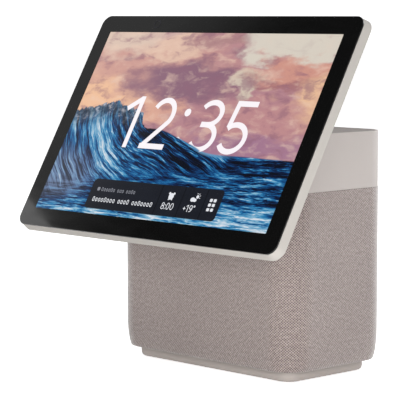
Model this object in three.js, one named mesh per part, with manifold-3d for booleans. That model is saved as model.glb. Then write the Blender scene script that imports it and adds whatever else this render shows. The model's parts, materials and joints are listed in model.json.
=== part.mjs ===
// Smart display: a 10.1 inch touch screen that tilts on a fabric-covered loudspeaker base.
// Millimetres, +Z up, the screen faces -Y. The origin is the middle of the footprint, on the table.

import * as THREE from 'three';
import { mergeVertices } from 'three/addons/utils/BufferGeometryUtils.js';
import Module from 'manifold-3d';

const wasm = await Module();
wasm.setup();

// ---------------------------------------------------------------- driving dimensions

const GAP = 0.3;                 // clearance between neighbouring pieces

// Loudspeaker base
const BODY_WIDTH = 164;
const BODY_DEPTH = 94.4;
const BODY_HEIGHT = 158.6;
const BODY_RADIUS = 19;          // vertical corners
const SEAM_HEIGHT = 122;         // where the top cap meets the fabric
const WALL = 2.4;                // moulded wall
const FABRIC_PROUD = 0.3;        // how far the fabric stands out from the cap
const FABRIC_THICKNESS = 0.7;
const HEM_TOP = 28;              // the sleeve draws in below this height ...
const HEM_HEIGHT = 21;           // ... along a quarter ellipse this high
const HEM_INSET = 3.9;           // ... and this deep
const PANEL_TOP = BODY_HEIGHT - 0.2;   // the top panel lies just below the cap's rim
const PANEL_INSET = 1.6;
const PLINTH_TOP = 7.2;
const PLINTH_INSET = 9.2;
const REAR_WALL_HALF = 60;       // the flat rear wall stops short of the rounded corners
const FOOT = { width: 132, depth: 62, radius: 8, height: 2.6 };
const FLOOR_TOP = 10.5;
const BALLAST_TOP = 16.8;

// Openings in the grille shell, as far out as reach on the front and on each side
const GRILLE_PITCH = 10;
const GRILLE_SLOT_HALF = 2;
const FRONT_SLOTS = { reach: 60, bottom: 24, top: 112 };
const SIDE_SLOTS = { reach: 20, bottom: 30, top: 100 };

// Display head, in its own frame: x right, y up the screen, z out of the glass
const GLASS_WIDTH = 242.4;
const GLASS_HEIGHT = 161.6;
const GLASS_RADIUS = 7;
const GLASS_THICKNESS = 1.1;
const LCD_WIDTH = 222;
const LCD_HEIGHT = 140;
const FRAME_BACK = -7.7;         // rear edge of the side band
const FRAME_FLARE = 1.2;         // the side band widens by this much towards its rear edge
const FRAME_WALL = 2.8;
const HEAD_BACK = -12;           // rear face of the head
const HEAD_Y = -62.25;           // centre of the glass above the table
const HEAD_Z = 162.7;
const LEAN_DEG = 30;             // from upright, at rest

// Tilt hinge
const HINGE_DEPTH = 32.5;        // axis behind the glass
const BARREL_RADIUS = 10.5;
const BARREL_HALF = 33;
const SHAFT_RADIUS = 4;
const SHAFT_HALF = 50;
const POCKET_HALF = 35;          // hinge pocket in the cap
const BRACKET_THICKNESS = 4;
const BRACKET_HALF_DEPTH = 9;
const BRACKET_FOOT_TOP = 118.6;
const BRACKET_TOP = 153;
const WASHER_THICKNESS = 1.5;
const NUT_THICKNESS = 5;

// Things on the head's top edge
const CAMERA_X = -64;
const CAMERA_Y = 74.3;
const KEY_Z = -5;
const KEY_POSITIONS = { volume_down_button: 34, volume_up_button: 48, mic_mute_button: 66 };

// Loudspeakers
const WOOFER_X = 34;
const WOOFER_Z = 54;
const TWEETER_X = 50;
const TWEETER_Z = 97;
const RADIATOR_Z = 62;
const BOX_WIDTH = 148;
const BOX_DEPTH = 62;
const BOX_Y = -9;
const BOX_BOTTOM = 17.1;
const BOX_TOP = 112;

// Power inlet at the rear: half sizes of its flange, of the well behind it and of the well's hole
const INLET_Z = 38;
const FLANGE = { halfWidth: 14, halfHeight: 9 };
const WELL = { halfWidth: 10, halfHeight: 8.2 };
const WELL_HOLE = { halfWidth: 7.6, halfHeight: 5.2 };

const SCREW_PLACES = [[-50, -20], [50, -20], [-50, 20], [50, 20]];

// Values that follow from the ones above
const LEAN = THREE.MathUtils.degToRad(LEAN_DEG);
const HINGE_Y = HEAD_Y + HINGE_DEPTH * Math.cos(LEAN);
const HINGE_Z = HEAD_Z - HINGE_DEPTH * Math.sin(LEAN);
const BOX_FRONT = BOX_Y - BOX_DEPTH / 2;
const SLEEVE_BOTTOM = PLINTH_TOP + 2 * GAP;
const SLEEVE_TOP = SEAM_HEIGHT - GAP;
const GRILLE_OFFSET = FABRIC_THICKNESS + GAP;
const SIDES = [['left', -1], ['right', 1]];

// ---------------------------------------------------------------- finishes

const FINISH = {
  glass: { color: 0x111113, roughness: 0.08, metalness: 0 },
  frame: { color: 0xc8c2bc, roughness: 0.42, metalness: 0 },
  shell: { color: 0xb9b2ac, roughness: 0.5, metalness: 0 },
  panel: { color: 0x827a76, roughness: 0.6, metalness: 0 },
  plinth: { color: 0xb8afa9, roughness: 0.55, metalness: 0 },
  fabric: { color: 0x9b928e, roughness: 0.95, metalness: 0 },
  rubber: { color: 0x3a3a3c, roughness: 0.9, metalness: 0 },
  dark: { color: 0x26262a, roughness: 0.6, metalness: 0 },
  pale: { color: 0xe6e6e2, roughness: 0.6, metalness: 0 },
  steel: { color: 0x9a9ca0, roughness: 0.35, metalness: 1 },
  aluminium: { color: 0xb9bcc0, roughness: 0.4, metalness: 1 },
  board: { color: 0x1f5a3a, roughness: 0.5, metalness: 0 },
  paper: { color: 0x4a4a4e, roughness: 0.85, metalness: 0 },
};

// ---------------------------------------------------------------- geometry helpers

// The points of a rounded rectangle, anticlockwise.
function roundedOutline(width, depth, radius, arcSteps) {
  const points = [];
  const corners = [[1, 1], [-1, 1], [-1, -1], [1, -1]];
  corners.forEach(([signX, signY], quarter) => {
    const centreX = signX * (width / 2 - radius);
    const centreY = signY * (depth / 2 - radius);
    for (let step = 0; step <= arcSteps; step += 1) {
      const angle = (quarter + step / arcSteps) * Math.PI / 2;
      points.push([centreX + radius * Math.cos(angle), centreY + radius * Math.sin(angle)]);
    }
  });
  return points;
}

// A closed solid through stacked rounded rectangles. Each level is [z, inset]; an inset draws
// the outline in by that much, and a negative one lets it out.
function loft(width, depth, radius, levels, arcSteps = 6) {
  const rings = levels.map(([z, inset]) => {
    const corner = Math.max(radius - inset, 0.5);
    const outline = roundedOutline(width - 2 * inset, depth - 2 * inset, corner, arcSteps);
    return outline.map(([x, y]) => [x, y, z]);
  });
  const count = rings[0].length;
  const last = (rings.length - 1) * count;
  const index = [];
  for (let start = 0; start < last; start += count) {
    for (let i = 0; i < count; i += 1) {
      const here = start + i;
      const next = start + (i + 1) % count;
      index.push(here, next, next + count, here, next + count, here + count);
    }
  }
  for (let i = 1; i + 1 < count; i += 1) {
    index.push(0, i + 1, i);
    index.push(last, last + i, last + i + 1);
  }
  const geometry = new THREE.BufferGeometry();
  geometry.setAttribute('position', new THREE.Float32BufferAttribute(rings.flat(2), 3));
  geometry.setIndex(index);
  return geometry;
}

// A box between two corners.
function block(x0, x1, y0, y1, z0, z1) {
  const geometry = new THREE.BoxGeometry(x1 - x0, y1 - y0, z1 - z0);
  return geometry.translate((x0 + x1) / 2, (y0 + y1) / 2, (z0 + z1) / 2);
}

// A round bar along 'x', 'y' or 'z' between two stations; the centre gives the other two places.
function bar(axis, radius, from, to, centre, segments = 16) {
  const geometry = new THREE.CylinderGeometry(radius, radius, to - from, segments);
  geometry.translate(0, (from + to) / 2, 0);
  if (axis === 'x') {
    geometry.rotateZ(-Math.PI / 2);
  } else if (axis === 'z') {
    geometry.rotateX(Math.PI / 2);
  }
  return geometry.translate(...centre);
}

// A solid of revolution about +Y from [radius, y] points, listed with the solid on their left.
function turned(profile, segments = 16) {
  const points = profile.map(([radius, y]) => new THREE.Vector2(radius, y));
  return new THREE.LatheGeometry(points, segments);
}

// A round cable through a list of points.
function cable(points, radius, steps) {
  const curve = new THREE.CatmullRomCurve3(points.map((point) => new THREE.Vector3(...point)));
  const section = new THREE.Shape();
  section.absarc(0, 0, radius, 0, 2 * Math.PI);
  return new THREE.ExtrudeGeometry(section, { extrudePath: curve, steps, curveSegments: 4 });
}

function toSolid(geometry) {
  const bare = geometry.clone();
  bare.deleteAttribute('normal');
  bare.deleteAttribute('uv');
  const merged = mergeVertices(bare);
  return new wasm.Manifold(new wasm.Mesh({
    numProp: 3,
    vertProperties: merged.attributes.position.array,
    triVerts: new Uint32Array(merged.index.array),
  }));
}

function toGeometry(solid) {
  const { vertProperties, triVerts } = solid.getMesh();
  const geometry = new THREE.BufferGeometry();
  geometry.setAttribute('position', new THREE.BufferAttribute(vertProperties, 3));
  geometry.setIndex(new THREE.BufferAttribute(triVerts, 1));
  return geometry;
}

function cut(geometry, ...tools) {
  return toGeometry(tools.reduce((solid, tool) => solid.subtract(toSolid(tool)), toSolid(geometry)));
}

function join(geometry, ...others) {
  return toGeometry(others.reduce((solid, other) => solid.add(toSolid(other)), toSolid(geometry)));
}

function common(geometry, other) {
  return toGeometry(toSolid(geometry).intersect(toSolid(other)));
}

// ---------------------------------------------------------------- assembly helpers

const device = new THREE.Group();
const head = new THREE.Group();
head.position.set(0, HEAD_Y, HEAD_Z);
head.rotation.x = Math.PI / 2 - LEAN;
device.add(head);

function addPiece(group, name, geometry, finish) {
  const flat = geometry.index ? geometry.toNonIndexed() : geometry;
  flat.computeVertexNormals();
  const piece = new THREE.Mesh(flat, new THREE.MeshStandardMaterial(finish));
  piece.name = name;
  group.add(piece);
  return piece;
}

// ---------------------------------------------------------------- base: outer pieces

// How far the sleeve draws in at a height, towards its hem.
function hemInset(z) {
  const drop = Math.max(HEM_TOP - z, 0) / HEM_HEIGHT;
  return HEM_INSET * (1 - Math.sqrt(1 - drop * drop));
}

// The upright wall of the base between hem and seam, drawn in by an offset. A cutting solid
// overruns both ends.
function sleeveSolid(offset, overrun = 0) {
  const heights = [SLEEVE_BOTTOM, 9.5, 12, 16, 21, HEM_TOP, SLEEVE_TOP];
  const levels = heights.map((z) => [z, offset + hemInset(z)]);
  levels[0][0] -= overrun;
  levels[levels.length - 1][0] += overrun;
  const width = BODY_WIDTH + 2 * FABRIC_PROUD;
  const depth = BODY_DEPTH + 2 * FABRIC_PROUD;
  return loft(width, depth, BODY_RADIUS + FABRIC_PROUD, levels);
}

// A window in the rear wall around the inlet, as wide as a half width and half height.
function inletWindow({ halfWidth, halfHeight }, margin) {
  return block(
    -halfWidth - margin, halfWidth + margin, BODY_DEPTH / 2 - 8, BODY_DEPTH / 2 + 3,
    INLET_Z - halfHeight - margin, INLET_Z + halfHeight + margin,
  );
}

function addSleeveAndGrille() {
  const fabric = cut(sleeveSolid(0), sleeveSolid(FABRIC_THICKNESS, 1), inletWindow(FLANGE, GAP));
  addPiece(device, 'fabric_sleeve', fabric, FINISH.fabric);

  const slots = [];
  const face = -BODY_DEPTH / 2;
  const side = BODY_WIDTH / 2;
  for (let x = -FRONT_SLOTS.reach; x <= FRONT_SLOTS.reach; x += GRILLE_PITCH) {
    const edges = [x - GRILLE_SLOT_HALF, x + GRILLE_SLOT_HALF];
    slots.push(block(...edges, face - 1, face + 5, FRONT_SLOTS.bottom, FRONT_SLOTS.top));
  }
  for (let y = -SIDE_SLOTS.reach; y <= SIDE_SLOTS.reach; y += GRILLE_PITCH) {
    const edges = [y - GRILLE_SLOT_HALF, y + GRILLE_SLOT_HALF];
    slots.push(block(-side - 1, -side + 5, ...edges, SIDE_SLOTS.bottom, SIDE_SLOTS.top));
    slots.push(block(side - 5, side + 1, ...edges, SIDE_SLOTS.bottom, SIDE_SLOTS.top));
  }
  const wall = cut(sleeveSolid(GRILLE_OFFSET), sleeveSolid(GRILLE_OFFSET + WALL, 1));
  const rearSpan = (half) => block(-half, half, 0, BODY_DEPTH, 0, BODY_HEIGHT);
  addPiece(device, 'grille_shell', cut(wall, rearSpan(REAR_WALL_HALF + GAP), ...slots), FINISH.dark);
  const rear = cut(common(wall, rearSpan(REAR_WALL_HALF)), inletWindow(WELL, GAP));
  addPiece(device, 'rear_wall', rear, FINISH.dark);
}

function addFootAndPlinth() {
  const pad = loft(FOOT.width, FOOT.depth, FOOT.radius, [[0, 0.6], [0.6, 0], [FOOT.height, 0]]);
  addPiece(device, 'foot_pad', pad, FINISH.rubber);

  const plinthWidth = BODY_WIDTH - 2 * PLINTH_INSET;
  const plinthDepth = BODY_DEPTH - 2 * PLINTH_INSET;
  const levels = [[0.4, 1.6], [1.2, 0.8], [2.6, 0.25], [4.6, 0], [PLINTH_TOP, 0]];
  const body = loft(plinthWidth, plinthDepth, BODY_RADIUS - PLINTH_INSET, levels);
  const pocket = loft(FOOT.width, FOOT.depth, FOOT.radius, [[0, -GAP], [FOOT.height + GAP, -GAP]]);
  const holes = SCREW_PLACES.flatMap(([x, y]) => [
    bar('z', 3.5, 2, 4.9, [x, y, 0], 12),
    bar('z', 1.8, 2, PLINTH_TOP + 1, [x, y, 0], 12),
  ]);
  addPiece(device, 'plinth', cut(body, pocket, ...holes), FINISH.plinth);
}

function addFloorAndBallast() {
  const holes = SCREW_PLACES.map(([x, y]) => bar('z', 1.8, 7, 11, [x, y, 0], 12));
  const floor = loft(152, 82, 13, [[PLINTH_TOP + GAP, 0], [FLOOR_TOP, 0]]);
  addPiece(device, 'floor_plate', cut(floor, ...holes), FINISH.dark);
  addPiece(device, 'ballast_plate', loft(120, 56, 6, [[FLOOR_TOP + GAP, 0], [BALLAST_TOP, 0]]), FINISH.steel);

  SCREW_PLACES.forEach(([x, y], i) => {
    const profile = [[0, 3.1], [3.2, 3.1], [3.2, 4.6], [1.5, 4.6], [1.5, 10.2], [0, 10.2]];
    const screw = turned(profile, 12).rotateX(Math.PI / 2).translate(x, y, 0);
    addPiece(device, `base_screw_${i + 1}`, screw, FINISH.steel);
  });
}

// The cap is a shell with a pocket in its front top edge, where the hinge barrel turns.
function addCapAndPanel() {
  const shoulder = BODY_HEIGHT - 0.8;
  const capLevels = [[SEAM_HEIGHT, 0], [shoulder, 0], [shoulder + 0.5, 0.25], [BODY_HEIGHT, 0.8]];
  const outer = loft(BODY_WIDTH, BODY_DEPTH, BODY_RADIUS, capLevels);
  const hollowLevels = [[SEAM_HEIGHT - 1, WALL], [BODY_HEIGHT - WALL, WALL]];
  const hollow = loft(BODY_WIDTH, BODY_DEPTH, BODY_RADIUS, hollowLevels);
  const rear = HINGE_Y + BARREL_RADIUS + 1.5;
  const bottom = HINGE_Z - BARREL_RADIUS - 2;
  const front = -BODY_DEPTH / 2 - 1;
  const above = BODY_HEIGHT + 1;
  const lining = block(-POCKET_HALF - WALL, POCKET_HALF + WALL, front, rear + WALL, bottom - WALL, above);
  const pocket = block(-POCKET_HALF, POCKET_HALF, front - 1, rear, bottom, above + 1);
  const shaftHole = bar('x', SHAFT_RADIUS + 1, -POCKET_HALF - 4, POCKET_HALF + 4, [0, HINGE_Y, HINGE_Z]);

  // The top panel lies in a shallow recess that runs round the pocket.
  const keepOut = block(-POCKET_HALF - WALL, POCKET_HALF + WALL, front, rear + WALL, 150, above + 1);
  const recessLevels = [[PANEL_TOP - 1, PANEL_INSET], [above, PANEL_INSET]];
  const recess = cut(loft(BODY_WIDTH, BODY_DEPTH, BODY_RADIUS, recessLevels), keepOut);
  const shell = join(cut(outer, hollow), common(outer, lining));
  addPiece(device, 'top_cap', cut(shell, pocket, recess, shaftHole), FINISH.shell);

  const inset = PANEL_INSET + GAP;
  const panelLevels = [[PANEL_TOP - 1 + GAP, inset], [PANEL_TOP - 0.2, inset], [PANEL_TOP, inset + 0.2]];
  const margin = POCKET_HALF + WALL + GAP;
  const panelGap = block(-margin, margin, front, rear + WALL + GAP, 150, above);
  const panel = cut(loft(BODY_WIDTH, BODY_DEPTH, BODY_RADIUS, panelLevels), panelGap);
  addPiece(device, 'top_panel', panel, FINISH.panel);
}

// ---------------------------------------------------------------- base: sound

function addSpeakerBox() {
  const outer = loft(BOX_WIDTH, BOX_DEPTH, 10, [[BOX_BOTTOM, 0], [BOX_TOP, 0]]);
  const inner = loft(BOX_WIDTH, BOX_DEPTH, 10, [[BOX_BOTTOM + 2.6, 2.6], [BOX_TOP + 1, 2.6]]);
  const holes = SIDES.flatMap(([, side]) => [
    bar('y', 24.4, -36, -24, [side * WOOFER_X, 0, WOOFER_Z], 20),
    bar('y', 11.1, -36, -24, [side * TWEETER_X, 0, TWEETER_Z]),
    bar('x', 20.4, side * BOX_WIDTH / 2 - 4, side * BOX_WIDTH / 2 + 4, [0, 0, RADIATOR_Z], 20),
  ]);
  addPiece(device, 'speaker_box', cut(outer, inner, ...holes).translate(0, BOX_Y, 0), FINISH.dark);

  const lid = loft(BOX_WIDTH, BOX_DEPTH, 10, [[BOX_TOP + GAP, 0], [BOX_TOP + 3.3, 0]]);
  addPiece(device, 'speaker_lid', lid.translate(0, BOX_Y, 0), FINISH.dark);
}

// A speaker is turned about its own axis; y = 0 is the front of its flange, towards -Y.
function addWoofer(side, sign) {
  const front = BOX_FRONT - GAP - 2.3;
  const basket = [
    [27, 0], [27, 2.3], [24, 2.3], [15, 17], [15, 19], [6, 19], [6, 17.6], [13.8, 17.6],
    [22.4, 2], [22.4, 0], [27, 0],
  ];
  const surround = [[22.1, 1.2], [20.3, 2], [18.6, 1.2], [19.4, 0.3], [21.2, 0.3], [22.1, 1.2]];
  const cone = [[0, 8.2], [6.2, 10.4], [18.3, 1], [18.3, 1.8], [6.4, 12], [0, 9.8]];
  const magnet = [[0, 19.3], [15, 19.3], [15, 28], [14, 29], [0, 29]];
  const parts = { basket, surround, cone, magnet };
  const finishes = { basket: FINISH.steel, surround: FINISH.rubber, cone: FINISH.paper, magnet: FINISH.dark };
  Object.entries(parts).forEach(([part, profile]) => {
    const geometry = turned(profile).translate(sign * WOOFER_X, front, WOOFER_Z);
    addPiece(device, `woofer_${side}_${part}`, geometry, finishes[part]);
  });
}

function addTweeter(side, sign) {
  const profile = [[0, -0.6], [5, 0], [8, 0.8], [13, 0], [13, 2.3], [10.8, 2.3], [10.8, 14], [0, 14]];
  const geometry = turned(profile).translate(sign * TWEETER_X, BOX_FRONT - GAP - 2.3, TWEETER_Z);
  addPiece(device, `tweeter_${side}`, geometry, FINISH.dark);
}

function addPassiveRadiator(side, sign) {
  const profile = [[0, 0], [20, 0], [25, 0], [25, 2], [20, 2], [16, 3.2], [0, 3.2]];
  const geometry = turned(profile, 20).rotateZ(-sign * Math.PI / 2);
  geometry.translate(sign * (BOX_WIDTH / 2 + GAP), BOX_Y, RADIATOR_Z);
  addPiece(device, `passive_radiator_${side}`, geometry, FINISH.paper);
}

// ---------------------------------------------------------------- base: electronics and inlet

function addBoards() {
  addPiece(device, 'main_board', block(-60, 60, 27, 28.6, 56, 110), FINISH.board);

  const fins = [];
  for (let x = -20; x <= 20; x += 8) {
    fins.push(block(x - 0.8, x + 0.8, 30, 40, 64, 102));
  }
  addPiece(device, 'heat_sink', join(block(-24, 24, 28.9, 31, 62, 104), ...fins), FINISH.aluminium);

  const components = [
    bar('y', 5, 28, 40, [-30, 0, 38], 16),
    bar('y', 5, 28, 40, [-18.5, 0, 38], 16),
    block(16, 34, 28, 38, 29, 47),
  ];
  const power = join(block(-40, 40, 27, 28.6, 24, 52), ...components);
  addPiece(device, 'power_board', power, FINISH.board);

  SIDES.forEach(([side, sign]) => {
    const inner = Math.min(sign * 30, sign * 62);
    const antenna = block(inner, inner + 32, 40.6, 41.6, 138, 150);
    addPiece(device, `wifi_antenna_${side}`, antenna, FINISH.board);
  });
}

function addInlet() {
  const jackRear = 36.4;
  const body = block(-4.5, 4.5, 28.9, jackRear, INLET_Z - 5, INLET_Z + 5);
  const socket = bar('y', 2.8, 30.4, jackRear + 1, [0, 0, INLET_Z], 8);
  addPiece(device, 'dc_jack', cut(body, socket), FINISH.dark);

  const flangeFront = BODY_DEPTH / 2 - GAP - 0.1;
  const flangeLevels = [[flangeFront, 0], [BODY_DEPTH / 2 + 0.6, 0], [BODY_DEPTH / 2 + 0.9, 0.3]];
  const flange = loft(2 * FLANGE.halfWidth, 2 * FLANGE.halfHeight, 4, flangeLevels);
  flange.rotateX(-Math.PI / 2).translate(0, 0, INLET_Z);
  const well = block(
    -WELL.halfWidth, WELL.halfWidth, jackRear + GAP, BODY_DEPTH / 2,
    INLET_Z - WELL.halfHeight, INLET_Z + WELL.halfHeight,
  );
  const hole = block(
    -WELL_HOLE.halfWidth, WELL_HOLE.halfWidth, jackRear, BODY_DEPTH / 2 + 2,
    INLET_Z - WELL_HOLE.halfHeight, INLET_Z + WELL_HOLE.halfHeight,
  );
  addPiece(device, 'inlet_bezel', cut(join(flange, well), hole), FINISH.dark);
}

// ---------------------------------------------------------------- tilt hinge

function addHingeBracket(side, sign) {
  const near = POCKET_HALF + WALL + GAP;
  const span = (from, to) => [Math.min(sign * from, sign * to), Math.max(sign * from, sign * to)];
  const rear = HINGE_Y + BRACKET_HALF_DEPTH;
  const cheek = block(
    ...span(near, near + BRACKET_THICKNESS), HINGE_Y - BRACKET_HALF_DEPTH, rear,
    BRACKET_FOOT_TOP - 0.6, BRACKET_TOP,
  );
  const foot = block(...span(near, near + 20), BOX_FRONT + 0.5, rear, BOX_TOP + 3.6, BRACKET_FOOT_TOP);
  const hole = bar('x', SHAFT_RADIUS + GAP, ...span(near - 1, near + 5), [0, HINGE_Y, HINGE_Z]);
  addPiece(device, `hinge_bracket_${side}`, cut(join(cheek, foot), hole), FINISH.steel);
}

// The leaf carries the head; its barrel is clamped to the shaft, which turns in the brackets.
function addHingeLeafAndShaft() {
  const plate = loft(60, 50, 5, [[HEAD_BACK - 2.8, 0], [HEAD_BACK - GAP, 0]]);
  const neck = block(-28, 28, -7, 7, -HINGE_DEPTH, HEAD_BACK - 2);
  const barrel = bar('x', BARREL_RADIUS, -BARREL_HALF, BARREL_HALF, [0, 0, -HINGE_DEPTH], 24);
  const bore = bar('x', SHAFT_RADIUS + GAP, -40, 40, [0, 0, -HINGE_DEPTH]);
  const cableSlot = block(-8, 8, -3, 3, -HINGE_DEPTH, HEAD_BACK + 1);
  const leaf = cut(join(plate, neck, barrel), bore, cableSlot);
  addPiece(head, 'hinge_leaf', leaf, FINISH.dark);

  const tube = bar('x', SHAFT_RADIUS, -SHAFT_HALF, SHAFT_HALF, [0, 0, -HINGE_DEPTH]);
  const core = bar('x', 2.6, -SHAFT_HALF - 1, SHAFT_HALF + 1, [0, 0, -HINGE_DEPTH], 16);
  const window = block(-7, 7, -2, 2, -HINGE_DEPTH, -HINGE_DEPTH + 6);
  addPiece(head, 'hinge_shaft', cut(tube, core, window), FINISH.steel);
}

function addWasherAndNut(side, sign) {
  const start = POCKET_HALF + WALL + 2 * GAP + BRACKET_THICKNESS;
  const nutStart = start + WASHER_THICKNESS + GAP;
  const bore = () => bar('x', SHAFT_RADIUS + GAP, -60, 60, [0, 0, -HINGE_DEPTH]);
  const ring = (radius, from, to, segments) => {
    const solid = bar('x', radius, from, to, [0, 0, -HINGE_DEPTH], segments);
    const bored = cut(solid, bore());
    return sign < 0 ? bored.rotateY(Math.PI).translate(0, 0, -2 * HINGE_DEPTH) : bored;
  };
  addPiece(head, `friction_washer_${side}`, ring(7, start, start + WASHER_THICKNESS, 20), FINISH.steel);
  addPiece(head, `hinge_nut_${side}`, ring(7.2, nutStart, nutStart + NUT_THICKNESS, 6), FINISH.steel);
}

function addCables() {
  const depth = -HINGE_DEPTH;
  const inHead = [
    [-4, 0, -8.4], [-4, 0, -16], [-4, 0, -24], [-2.5, 0, depth + 3.5], [2, 0, depth + 0.6],
    [8, 0, depth], [20, 0, depth], [50.5, 0, depth],
  ];
  addPiece(head, 'display_cable', cable(inHead, 1.2, 20), FINISH.dark);

  const inBase = [
    [51.2, HINGE_Y, HINGE_Z], [58, HINGE_Y, HINGE_Z], [64, -28, 144], [66, -12, 138],
    [64, 8, 130], [58, 24, 121], [52, 32, 112], [50, 31, 104],
  ];
  addPiece(device, 'base_cable', cable(inBase, 1.2, 20), FINISH.dark);
}

// ---------------------------------------------------------------- display head

function addGlassAndFrame() {
  const glassLevels = [[-GLASS_THICKNESS, 0], [-0.2, 0], [0, 0.2]];
  addPiece(head, 'cover_glass', loft(GLASS_WIDTH, GLASS_HEIGHT, GLASS_RADIUS, glassLevels), FINISH.glass);

  const front = -GLASS_THICKNESS - GAP;
  const band = loft(GLASS_WIDTH, GLASS_HEIGHT, GLASS_RADIUS, [[FRAME_BACK, -FRAME_FLARE], [front, 0]]);
  const opening = loft(
    GLASS_WIDTH, GLASS_HEIGHT, GLASS_RADIUS, [[FRAME_BACK - 1, FRAME_WALL], [0, FRAME_WALL]],
  );
  const top = GLASS_HEIGHT / 2;
  const keySlots = Object.values(KEY_POSITIONS).map(
    (x) => block(x - 5, x + 5, top - 5, top + 5, KEY_Z - 1.5, KEY_Z + 1.5),
  );
  const shutterSlot = block(CAMERA_X + 3.2, CAMERA_X + 14.5, top - 5, top + 5, -5.7, -3.9);
  const soundHoles = [-12, 0, 12].map((x) => bar('y', 0.7, top - 5, top + 5, [x, 0, KEY_Z], 10));
  addPiece(head, 'display_frame', cut(band, opening, ...keySlots, shutterSlot, ...soundHoles), FINISH.frame);
}

function addRearCover() {
  const seat = FRAME_BACK - GAP;
  const levels = [[HEAD_BACK, 4.6], [HEAD_BACK + 0.8, 2.8], [HEAD_BACK + 2.4, 1], [seat, -0.8]];
  const outer = loft(GLASS_WIDTH, GLASS_HEIGHT, GLASS_RADIUS, levels);
  const hollow = loft(GLASS_WIDTH, GLASS_HEIGHT, GLASS_RADIUS, [[HEAD_BACK + 1.6, 5], [seat + 1, 2.2]]);
  const cableHole = block(-9, 9, -4, 4, HEAD_BACK - 1, HEAD_BACK + 3);
  addPiece(head, 'display_rear_cover', cut(outer, hollow, cableHole), FINISH.frame);
}

function addScreenStack() {
  const front = -GLASS_THICKNESS - GAP;
  addPiece(head, 'lcd_panel', loft(LCD_WIDTH, LCD_HEIGHT, 1, [[front - 1.5, 0], [front, 0]], 2), FINISH.dark);
  const backlight = loft(LCD_WIDTH, LCD_HEIGHT, 1, [[-5, 0], [-3.2, 0]], 2);
  addPiece(head, 'backlight_unit', backlight, FINISH.pale);
  addPiece(head, 'mid_plate', loft(234, LCD_HEIGHT, 6, [[-6.1, 0], [-5.3, 0]]), FINISH.aluminium);
  addPiece(head, 'driver_board', block(-65, 65, -20, 24, -8, -6.8), FINISH.board);
  addPiece(head, 'mic_board', block(-16, 16, 76, 77, KEY_Z - 2, KEY_Z + 2), FINISH.board);
}

function addCamera() {
  const module = block(CAMERA_X - 3.2, CAMERA_X + 3.2, 71, 77.5, -6.6, -3.6);
  addPiece(head, 'camera_module', module, FINISH.dark);
  const lens = bar('z', 2.2, -3.3, -2.4, [CAMERA_X, CAMERA_Y, 0]);
  addPiece(head, 'camera_lens', lens, FINISH.glass);

  // Parked open, 8 mm to the right of the lens: a blade, a link back through the frame, a tab.
  const blade = block(CAMERA_X + 4.5, CAMERA_X + 14, 71, 77.6, -2.1, -1.6);
  const link = block(CAMERA_X + 11.7, CAMERA_X + 14, 75.8, 77.6, -5.4, -1.6);
  const neck = block(CAMERA_X + 11.7, CAMERA_X + 14, 75.8, 82.2, -5.4, -4.2);
  const tab = block(CAMERA_X + 7, CAMERA_X + 17, 81.9, 82.6, -5.8, -3.8);
  addPiece(head, 'camera_shutter', join(blade, link, neck, tab), FINISH.dark);
}

function addKeys() {
  const switches = Object.values(KEY_POSITIONS).map(
    (x) => block(x - 2, x + 2, 75, 76.3, KEY_Z - 1.2, KEY_Z + 1.2),
  );
  const board = join(block(26, 74, 74.2, 75.2, KEY_Z - 2, KEY_Z + 2), ...switches);
  addPiece(head, 'key_board', board, FINISH.board);

  // A key passes through the frame and is held in by a flange inside it.
  Object.entries(KEY_POSITIONS).forEach(([name, x]) => {
    const key = block(x - 4.7, x + 4.7, 77.3, 82.4, KEY_Z - 1.2, KEY_Z + 1.2);
    const flange = block(x - 5.8, x + 5.8, 77.1, 77.7, KEY_Z - 1.2, KEY_Z + 1.2);
    addPiece(head, name, join(key, flange), FINISH.frame);
  });
}

// ---------------------------------------------------------------- the device

addFootAndPlinth();
addFloorAndBallast();
addSpeakerBox();
SIDES.forEach(([side, sign]) => {
  addWoofer(side, sign);
  addTweeter(side, sign);
  addPassiveRadiator(side, sign);
  addHingeBracket(side, sign);
  addWasherAndNut(side, sign);
});
addBoards();
addInlet();
addSleeveAndGrille();
addCapAndPanel();
addHingeLeafAndShaft();
addCables();
addGlassAndFrame();
addRearCover();
addScreenStack();
addCamera();
addKeys();

export default device;
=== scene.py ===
"""Looks of a tilting smart display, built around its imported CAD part.

Sizes are in millimetres, and in metres in the studio. +Z is up and the screen faces -Y. Pieces of
the display head are made in the head's own frame, x right, y up the screen and z out of the glass,
and HEAD puts them in place.
"""

import json
import math

import bmesh
import bpy
from mathutils import Matrix, Vector


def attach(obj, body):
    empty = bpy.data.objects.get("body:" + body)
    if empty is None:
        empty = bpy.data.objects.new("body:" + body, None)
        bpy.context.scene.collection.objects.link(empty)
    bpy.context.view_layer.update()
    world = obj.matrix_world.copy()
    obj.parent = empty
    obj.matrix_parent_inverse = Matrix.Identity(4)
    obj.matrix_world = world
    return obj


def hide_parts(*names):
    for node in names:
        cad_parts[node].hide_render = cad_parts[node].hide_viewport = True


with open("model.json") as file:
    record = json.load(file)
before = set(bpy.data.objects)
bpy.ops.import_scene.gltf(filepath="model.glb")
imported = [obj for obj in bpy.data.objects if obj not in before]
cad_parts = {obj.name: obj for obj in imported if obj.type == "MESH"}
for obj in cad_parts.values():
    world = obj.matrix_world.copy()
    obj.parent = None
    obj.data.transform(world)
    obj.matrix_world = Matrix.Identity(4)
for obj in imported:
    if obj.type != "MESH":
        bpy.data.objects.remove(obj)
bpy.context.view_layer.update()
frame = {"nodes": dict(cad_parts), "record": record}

# ------------------------------------------------------------------ sizes

MM = 0.001

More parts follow.
